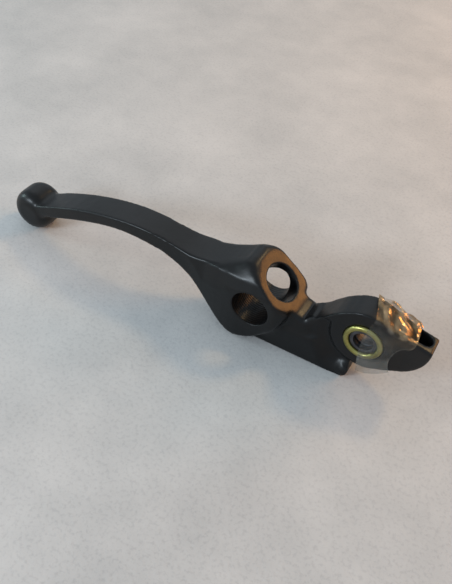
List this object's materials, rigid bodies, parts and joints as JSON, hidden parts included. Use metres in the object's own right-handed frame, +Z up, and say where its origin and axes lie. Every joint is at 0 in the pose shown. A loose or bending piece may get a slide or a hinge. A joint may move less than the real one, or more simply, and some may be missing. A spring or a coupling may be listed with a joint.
{
  "type": "motorcycle clutch lever",
  "caption": "Satin black forged clutch lever with a ball end, a loose pivot bush and sleeve, an adjuster bore with a cross bore, and a slotted short tip.",
  "frame": {"origin": "middle of the pivot bore, on the pivot axis and halfway through the eye", "axes": "+X from the pivot to the short tip, +Y along the pivot axis, +Z up as the lever stands on its ball and on the flat under its neck"},
  "size_m": [0.2054, 0.0264, 0.0387],
  "materials": {
    "lever_coating": "satin black powder coat over forged aluminium",
    "bush_plating": "yellow passivated zinc plate on steel",
    "sleeve_steel": "turned steel, lightly oiled",
    "clear_tape": "clear glossy tape"
  },
  "bodies": {
    "lever": {"lever_body": "lever_coating", "retaining_tape": "clear_tape"},
    "bush": {"pivot_bush": "bush_plating"},
    "sleeve": {"pivot_sleeve": "sleeve_steel"}
  },
  "joints": [
    {"name": "bush_spin", "type": "hinge", "parent": "lever", "child": "bush", "pos_m": [0, 0, 0], "axis": [0, 1, 0], "continuous": true},
    {"name": "sleeve_spin", "type": "hinge", "parent": "bush", "child": "sleeve", "pos_m": [0, 0, 0], "axis": [0, 1, 0], "continuous": true}
  ]
}
